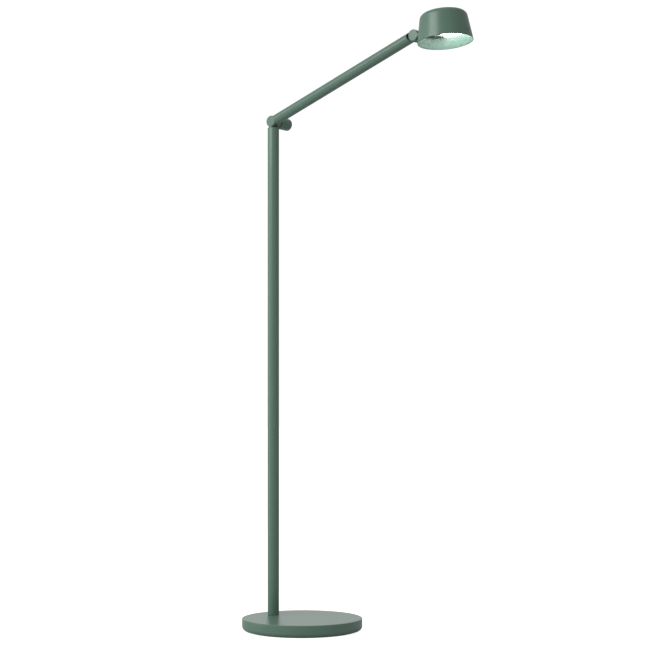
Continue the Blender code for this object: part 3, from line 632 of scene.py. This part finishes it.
class LAMP_OT_base(bpy.types.Operator):
    """Make the base's cover, its rubber pad and the cord's bush"""

    bl_idname = "lamp.base"
    bl_label = "Base"

    def execute(self, context):
        self.add_cover(context)
        self.add_pad(context)
        self.add_bush(context)
        return {"FINISHED"}

    def add_cover(self, context):
        """The pressed cover, its lower edge rolled in, with the cord's hole at the back."""
        sizes = context.scene.lamp_sizes
        low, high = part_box("base_cover")
        radius, sheet, roll = high.x, sizes.sheet, sizes.base_roll
        lip = radius - roll
        cover = turned([(0.0, high.z), (radius, high.z, sizes.base_edge, 6), (radius, low.z, roll, 14),
                        (lip - 0.0002, low.z, 0.0005, 3), (lip - 0.0002, low.z + sheet, 0.0005, 3),
                        (radius - sheet, low.z + sheet, roll - sheet, 10),
                        (radius - sheet, high.z - sheet), (0.0, high.z - sheet)], 192, longest=0.012)
        bush = middle("cord_gland")
        start = Matrix.Translation((low.x + CORD_HOLE_START, 0.0, bush.z))
        cover = combined(cover, moved(cylinder(CORD_HOLE, 0.0, 0.02, 48), start @ TO_BACK))
        finished(context, "base_shell", cover, "base", "sage_paint", ["base_cover"])

    def add_pad(self, context):
        """The rubber pad, with round ribs below."""
        low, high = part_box("base_pad")
        radius = high.x
        corners = [(0.0, high.z), (radius, high.z, 0.0004, 3), (radius, low.z, 0.0006, 3)]
        spot = radius - RIB_START
        while spot > RIB_PITCH:
            corners += [(spot, low.z), (spot - RIB_HALF, low.z + RIB_DEPTH), (spot - 2 * RIB_HALF, low.z)]
            spot -= RIB_PITCH
        corners.append((0.0, low.z))
        pad = turned(corners, 128)
        finished(context, "foot_pad", pad, "base", "rubber", ["base_pad"])

    def add_bush(self, context):
        """The cord's bush: a rounded flange on a sleeve through the cover."""
        low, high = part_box("cord_gland")
        wide = (high.z - low.z) / 2
        depth = high.x - low.x - BUSH_FLANGE
        bush = turned([(wide, BUSH_FLANGE, 0.0009, 5), (wide, 0.0, 0.0002, 2), (BUSH_SLEEVE, 0.0),
                       (BUSH_SLEEVE, -depth, 0.0003, 2), (BUSH_BORE, -depth, 0.0003, 2),
                       (BUSH_BORE, BUSH_FLANGE, 0.0008, 5)], 72, closed=True)
        place = Matrix.Translation((low.x + BUSH_FLANGE, 0.0, (low.z + high.z) / 2))
        moved(bush, place @ TO_BACK)
        finished(context, "cord_bush", bush, "base", "black_plastic", ["cord_gland"])


class LAMP_OT_pole(bpy.types.Operator):
    """Make the pole's tube"""

    bl_idname = "lamp.pole"
    bl_label = "Pole"

    def execute(self, context):
        sizes = context.scene.lamp_sizes
        low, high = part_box("pole_tube")
        radius = (high.y - low.y) / 2
        bore = radius - sizes.tube_wall
        tube = turned([(radius, high.z, 0.0006, 4), (radius, low.z, 0.0004, 3), (bore, low.z),
                       (bore, high.z, 0.0004, 3)], 128, closed=True, longest=0.1)
        moved(tube, Matrix.Translation((POLE.x, POLE.y, 0.0)))
        finished(context, "pole", tube, "base", "sage_paint", ["pole_tube"])
        return {"FINISHED"}


# Hinges and knobs --------------------------------------------------------------------------------

BEYOND = 0.03             # how far a cut runs, past all it cuts
BARREL_RADIUS = 0.0125
TONGUE_EYE = 0.0101       # radius of the slots' round pockets
SLOT_HALF = 0.0031        # half the width of the slots
STUD_HOLE = 0.0033        # radius of the stud's bore
STUD_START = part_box("elbow_stud")[0].y - 0.0003
INSERT_HOLE = 0.0055      # radius and depth of the knob's hollow for its insert
INSERT_DEPTH = 0.0075
COLLAR_RADIUS = 0.0105    # the elbow's collar, and its upper and lower ends below the hinge
COLLAR_HIGH = -0.0080
COLLAR_LOW = -0.0135
POST_RADIUS = 0.0055
ARM_WAY = 0.0127          # radius within which the lowered arm leaves the collar alone
ARM_WAY_START = 0.004     # along X, from the hinge
ARM_RADIUS = 0.0114
ARM_END = 0.004           # the tube's ends before they are shaped, from the hinges' axes
COPE_RADIUS = 0.0131      # of the tube's hollow ends
LOCK_HOLE = 0.0022        # radius of the lock screws' holes


def barrel(node, edge):
    """A hinge barrel about Z, as long as its CAD node's, its front end rounded."""
    low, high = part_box(node)
    return turned([(0.0, high.y), (BARREL_RADIUS, high.y, 0.0006, 3), (BARREL_RADIUS, low.y, edge, 8),
                   (0.0, low.y)], 128, longest=0.004)


def slotted(head, place, open_from, open_to):
    """The barrel with the tongue's slot: a round pocket and an opening, on the arm's side."""
    pocket = moved(cylinder(TONGUE_EYE, -SLOT_HALF, SLOT_HALF, 96), ALONG_Y)
    head = combined(head, moved(pocket, place @ Matrix.Translation((0.0, ARM_SIDE, 0.0))))
    opening = box_shape((open_from[0], ARM_SIDE - SLOT_HALF, open_from[1]),
                        (open_to[0], ARM_SIDE + SLOT_HALF, open_to[1]))
    return combined(head, moved(opening, place))


def stud_bore(hinge):
    """The cutter for a stud's bore, along Y from the stud's start."""
    return moved(cylinder(STUD_HOLE, STUD_START, BEYOND, 48), Matrix.Translation(hinge) @ ALONG_Y)


def knob(context, name, node, body, hinge):
    """A smooth knob behind a barrel, its outer end rounded, its front hollow for the insert."""
    sizes = context.scene.lamp_sizes
    low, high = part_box(node)
    radius = (high.z - low.z) / 2
    start, end, bottom = low.y, high.y, low.y + INSERT_DEPTH
    shape = turned([(0.0, end), (radius * 0.55, end - 0.00012, 0.004, 3),
                    (radius, end - 0.0003, sizes.knob_edge, 10), (radius, start, 0.0006, 4),
                    (INSERT_HOLE, start, 0.0003, 2), (INSERT_HOLE, bottom), (0.0, bottom)], 128)
    moved(shape, Matrix.Translation((hinge.x, 0.0, hinge.z)) @ ALONG_Y)
    finished(context, name, shape, body, "sage_paint", [node])


class LAMP_OT_elbow(bpy.types.Operator):
    """Make the elbow's barrel with its collar and post"""

    bl_idname = "lamp.elbow"
    bl_label = "Elbow"

    def execute(self, context):
        sizes = context.scene.lamp_sizes
        place = Matrix.Translation(ELBOW)
        head = moved(barrel("swivel_head", sizes.barrel_edge), ALONG_Y)
        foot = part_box("swivel_head")[0].z - ELBOW.z
        collar = turned([(0.0, COLLAR_HIGH), (COLLAR_RADIUS, COLLAR_HIGH),
                         (COLLAR_RADIUS, COLLAR_LOW, 0.0003, 2), (POST_RADIUS, COLLAR_LOW),
                         (POST_RADIUS, foot, 0.0005, 3), (0.0, foot)], 128)
        way = turned([(BEYOND, BEYOND), (BEYOND, -BEYOND), (ARM_WAY, -BEYOND), (ARM_WAY, BEYOND)], 192,
                     closed=True)
        side = box_shape((ARM_WAY_START, -0.035, COLLAR_LOW), (0.034, 0.035, 0.0))
        collar = combined(collar, combined(moved(way, ALONG_Y), side, "INTERSECT"))
        head = combined(head, collar, "UNION")
        head = slotted(moved(head, place), place, (-0.0066, -0.0090), (BEYOND, BEYOND))
        head = combined(head, stud_bore(ELBOW))
        finished(context, "elbow_barrel", head, "swivel", "sage_paint", ["swivel_head"])
        return {"FINISHED"}


class LAMP_OT_knobs(bpy.types.Operator):
    """Make the elbow's long knob and the head's short one"""

    bl_idname = "lamp.knobs"
    bl_label = "Knobs"

    def execute(self, context):
        knob(context, "elbow_handle", "elbow_knob", "elbow_knob", ELBOW)
        knob(context, "head_handle", "head_knob", "head_knob", HINGE)
        return {"FINISHED"}


class LAMP_OT_arm(bpy.types.Operator):
    """Make the arm's tube, its ends shaped round the two barrels"""

    bl_idname = "lamp.arm"
    bl_label = "Arm"

    def execute(self, context):
        sizes = context.scene.lamp_sizes
        start = Vector((ELBOW.x, ARM_SIDE, ELBOW.z))
        end = Vector((HINGE.x, ARM_SIDE, HINGE.z))
        reach = (end - start).length
        bore = ARM_RADIUS - sizes.arm_wall
        tube = turned([(ARM_RADIUS, reach - ARM_END), (ARM_RADIUS, ARM_END), (bore, ARM_END),
                       (bore, reach - ARM_END)], 128, closed=True, longest=0.05)
        place = along(start, end - start)
        for spot in (0.0, reach):
            around = Matrix.Translation((0.0, 0.0, spot)) @ ALONG_Y
            tube = combined(tube, moved(cylinder(COPE_RADIUS, -BEYOND, BEYOND, 192), around))
        tube = moved(tube, place)
        down = place.to_3x3() @ Vector((1.0, 0.0, 0.0))
        if down.z >= 0.0:
            down = -down
        for node in ("elbow_lock_screw", "head_lock_screw"):
            hole = cylinder(LOCK_HOLE, -0.004, 0.006, 48)
            tube = combined(tube, moved(hole, along(middle(node), down)))
        finished(context, "arm", tube, "arm", "sage_paint", ["arm_tube"], edge=sizes.fine_edge)
        return {"FINISHED"}


# Head --------------------------------------------------------------------------------------------

def cut_flat(shape, edge, side):
    """A shape cut off at edge along X; what lies on the given side stays, and the cut is closed."""
    cut = bmesh.ops.bisect_plane(shape, geom=shape.verts[:] + shape.edges[:] + shape.faces[:], dist=FINE,
                                 plane_co=(edge, 0.0, 0.0), plane_no=(-side, 0.0, 0.0), clear_outer=True)
    rim = [item for item in cut["geom_cut"] if isinstance(item, bmesh.types.BMEdge)]
    bmesh.ops.contextual_create(shape, geom=rim)
    bmesh.ops.holes_fill(shape, edges=[item for item in shape.edges if item.is_boundary])
    bmesh.ops.recalc_face_normals(shape, faces=shape.faces)
    return shape


NECK_RADIUS = 0.0060
NECK_ROOT = 0.0060        # where the neck ends inside the barrel, from the hinge's axis
NECK_THREAD = 0.0045      # radius of the thread through the shade's wall
THREAD_LENGTH = 0.0095
WASHER_TO_NECK = 0.0014   # with the sheet, from the middle of the neck's washer to the neck's start
BUTTON_HOLE = 0.0048      # radius of the button's hole in the shade
BUTTON_RADIUS = 0.0045
BUTTON_HALF = 0.0017      # half the button's length
BEZEL_LOW = -0.0015       # the bezel's lower and upper ends, from the lens's lower face
BEZEL_HIGH = 0.0179
BEZEL_OUTER = 0.0412      # radii of the bezel's outside, of its lip and of the seat above the lip
BEZEL_LIP = 0.0370
BEZEL_SEAT = 0.0397
LENS_RADIUS = 0.0385
LENS_DEPTH = 0.0020
LENS_GAP = 0.0003         # between the lens and the housing
HOUSING_RADIUS = 0.0382
HOUSING_SHORT = 0.0040    # how much lower the housing is than the box round its leaning CAD node
SKIRT_INNER = 0.0415
SKIRT_OUTER = 0.0512
SKIRT_DROP = 0.0013       # of the skirt's lower face below the lens's
SKIRT_DEPTH = 0.0010


def mouth_place(sizes):
    """The middle of the shade's mouth, +Z up the shade's own axis."""
    bezel_middle = BEZEL_LOW + sizes.lens_height + (BEZEL_HIGH - BEZEL_LOW) / 2
    return along(BEZEL - SHADE_UP * bezel_middle, SHADE_UP)


class LAMP_OT_head(bpy.types.Operator):
    """Make the head's barrel with the neck that carries the shade"""

    bl_idname = "lamp.head"
    bl_label = "Head barrel"

    def execute(self, context):
        sizes = context.scene.lamp_sizes
        place = along(HINGE, SHADE_UP)
        head = moved(barrel("head_barrel", sizes.barrel_edge), Matrix.Translation(HINGE) @ ALONG_Y)
        washer = middle("neck_washer")
        hinge = Vector((HINGE.x, ARM_SIDE, HINGE.z))
        outward = (hinge - washer).normalized()
        entry = washer + outward * (sizes.sheet + WASHER_TO_NECK)
        root = (hinge - entry).length - NECK_ROOT
        neck = turned([(0.0, root), (NECK_RADIUS, root), (NECK_RADIUS, 0.0003, 0.0005, 4),
                       (NECK_THREAD, 0.0003), (NECK_THREAD, -THREAD_LENGTH, 0.0004, 2),
                       (0.0, -THREAD_LENGTH)], 96)
        head = combined(head, moved(neck, along(entry, outward)), "UNION")
        head = slotted(head, place, (-BEYOND, -BEYOND), (0.0021, BEYOND))
        head = combined(head, stud_bore(HINGE))
        finished(context, "head_hinge", head, "head", "sage_paint", ["head_barrel"])
        return {"FINISHED"}


class LAMP_OT_shade(bpy.types.Operator):
    """Make the spun shade, the lens, and the bezel, skirt and housing round it"""

    bl_idname = "lamp.shade"
    bl_label = "Shade"

    def execute(self, context):
        sizes = context.scene.lamp_sizes
        place = mouth_place(sizes)
        self.add_shade(context, sizes, place)
        self.add_lens(context, sizes, place)
        self.add_bezel(context, sizes, place)
        self.add_housing(context, sizes, place)
        self.add_skirt(context, sizes, place)
        return {"FINISHED"}

    def add_shade(self, context, sizes, place):
        """A tapered drum with a round shoulder, a fine rolled rim and the button's hole."""
        lean, sheet = sizes.shade_taper, sizes.sheet
        top = sizes.shade_height - sizes.crown
        slope = math.tan(lean)
        step = sheet / math.cos(lean)
        shoulder = sizes.mouth_radius - top * slope
        inner_top = top - sheet
        inner_shoulder = sizes.mouth_radius - step - inner_top * slope
        crown = sizes.crown * 0.6
        corners = [(0.0, sizes.shade_height), (shoulder * 0.45, top + crown, 0.08, 5),
                   (shoulder, top, sizes.shoulder, 16),
                   (sizes.mouth_radius, 0.0, sizes.rim, 5), (sizes.mouth_radius - step, 0.0, sizes.rim, 5),
                   (inner_shoulder, inner_top, sizes.shoulder - sheet, 14),
                   (shoulder * 0.45, inner_top + crown, 0.08, 5), (0.0, sizes.shade_height - sheet)]
        cup = moved(turned(corners, 192, longest=0.006), place)
        button = middle("dimmer_button")
        press = Vector(JOINTS["dimmer_press"]["axis"])
        cup = combined(cup, moved(cylinder(BUTTON_HOLE, -0.006, 0.006, 64), along(button, -press)))
        finished(context, "lamp_shade", cup, "head", "sage_paint", ["shade"], sharp=40.0)

    def add_lens(self, context, sizes, place):
        """The frosted lens, slightly bowed below."""
        low = sizes.lens_height
        lens = turned([(0.0, low + LENS_DEPTH), (LENS_RADIUS, low + LENS_DEPTH, 0.0003, 2),
                       (LENS_RADIUS, low + 0.0004, 0.0003, 2), (LENS_RADIUS * 0.55, low + 0.0001, 0.02, 3),
                       (0.0, low)], 128)
        lens = cut_flat(lens, sizes.housing_edge + LENS_GAP, 1.0)
        finished(context, "lens", moved(lens, place), "head", "frosted_lens", ["diffuser"])

    def add_housing(self, context, sizes, place):
        """A black plastic block that fills the neck's side of the lens's opening and leaves that side dark."""
        low = sizes.lens_height
        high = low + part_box("driver_box")[1].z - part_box("driver_box")[0].z - HOUSING_SHORT
        housing = turned([(0.0, high), (HOUSING_RADIUS, high, 0.0004, 3),
                          (HOUSING_RADIUS, low, 0.0008, 4), (0.0, low)], 128)
        housing = cut_flat(housing, sizes.housing_edge, -1.0)
        # a black block in the lens's plane that keeps the neck's side of the opening dark
        finished(context, "dark_side_block", moved(housing, place), "head", "black_plastic", ["driver_box"],
                 edge=sizes.fine_edge)

    def add_skirt(self, context, sizes, place):
        """The frosted skirt between the bezel and the shade's wall, open on the neck's side. It glows with the
        lens's finish as painted light, though no lamp lies behind it.
        """
        low = sizes.lens_height - SKIRT_DROP
        high = low + SKIRT_DEPTH
        skirt = turned([(SKIRT_INNER, low, 0.0002, 2), (SKIRT_INNER, high), (SKIRT_OUTER, high, 0.0003, 2),
                        (SKIRT_OUTER, low, 0.0003, 2)], 160, closed=True)
        skirt = cut_flat(skirt, sizes.housing_edge, 1.0)
        # painted light: the skirt takes the glowing lens finish and shines though nothing lights it from behind
        finished(context, "lens_skirt_ring", moved(skirt, place), "head", "frosted_lens", ["lens_skirt"])

    def add_bezel(self, context, sizes, place):
        """The white ring that holds the lens."""
        low, top = sizes.lens_height + BEZEL_LOW, sizes.lens_height + BEZEL_HIGH
        seat = low + 0.0012
        bezel = turned([(BEZEL_OUTER, top, 0.0004, 3), (BEZEL_OUTER, low, 0.0010, 6),
                        (BEZEL_LIP, low, 0.0005, 4), (BEZEL_LIP, seat), (BEZEL_SEAT, seat),
                        (BEZEL_SEAT, top, 0.0003, 2)], 128, closed=True)
        finished(context, "lens_ring", moved(bezel, place), "head", "white_plastic", ["lens_bezel"])


class LAMP_OT_button(bpy.types.Operator):
    """Make the dimmer's button in the shade's wall"""

    bl_idname = "lamp.button"
    bl_label = "Dimmer button"

    def execute(self, context):
        press = Vector(JOINTS["dimmer_press"]["axis"])
        spot = middle("dimmer_button")
        radius, half = BUTTON_RADIUS, BUTTON_HALF
        cap = turned([(0.0, half - 0.0003), (0.0024, half - 0.0002, 0.004, 3),
                      (radius - 0.0007, half, 0.0006, 3), (radius, half - 0.0006, 0.0006, 4),
                      (radius, -half, 0.0002, 2), (0.0, -half)], 72)
        moved(cap, along(spot, -press))
        finished(context, "dimmer_cap", cap, "button", "sage_paint", ["dimmer_button"])
        return {"FINISHED"}


# Pieces that keep their CAD shape ----------------------------------------------------------------

class LAMP_OT_hardware(bpy.types.Operator):
    """Give each piece that keeps its CAD shape its own finish"""

    bl_idname = "lamp.hardware"
    bl_label = "Hardware"

    def execute(self, context):
        slots = {part["node"]: part["material_slot"] for part in frame["record"]["subparts"]}
        for name, node in frame["nodes"].items():
            if node.hide_render:
                continue
            material = finish_of(context, slots[name])
            if node.material_slots:
                node.material_slots[0].material = material
            else:
                node.data.materials.append(material)
        return {"FINISHED"}


# Panel and registration --------------------------------------------------------------------------

OPERATORS = (LAMP_OT_stage, LAMP_OT_base, LAMP_OT_pole, LAMP_OT_elbow, LAMP_OT_knobs, LAMP_OT_arm,
             LAMP_OT_head, LAMP_OT_shade, LAMP_OT_button, LAMP_OT_hardware)
GROUPS = {"lamp_sizes": LampSizes, "lamp_finishes": LampFinishes, "lamp_studio": LampStudio}


class LAMP_PT_panel(bpy.types.Panel):
    """The lamp's operators and settings, in the 3D view's sidebar"""

    bl_idname = "LAMP_PT_panel"
    bl_label = "Arm Floor Lamp"
    bl_space_type = "VIEW_3D"
    bl_region_type = "UI"
    bl_category = "Floor Lamp"

    def draw(self, context):
        layout = self.layout
        for operator in OPERATORS:
            layout.operator(operator.bl_idname)
        for group in GROUPS:
            settings = getattr(context.scene, group)
            box = layout.box()
            for name in settings.__annotations__:
                box.prop(settings, name)


def register():
    """Register the settings, the operators and the panel."""
    for name, group in GROUPS.items():
        bpy.utils.register_class(group)
        setattr(bpy.types.Scene, name, bpy.props.PointerProperty(type=group))
    for kind in (*OPERATORS, LAMP_PT_panel):
        bpy.utils.register_class(kind)


def unregister():
    """Take it all away again."""
    for kind in reversed((*OPERATORS, LAMP_PT_panel)):
        bpy.utils.unregister_class(kind)
    for name, group in GROUPS.items():
        delattr(bpy.types.Scene, name)
        bpy.utils.unregister_class(group)


def main():
    """Build the lamp and its stage."""
    register()
    for operator in OPERATORS:
        getattr(bpy.ops.lamp, operator.bl_idname.split(".")[1])()


if __name__ == "__main__":
    main()
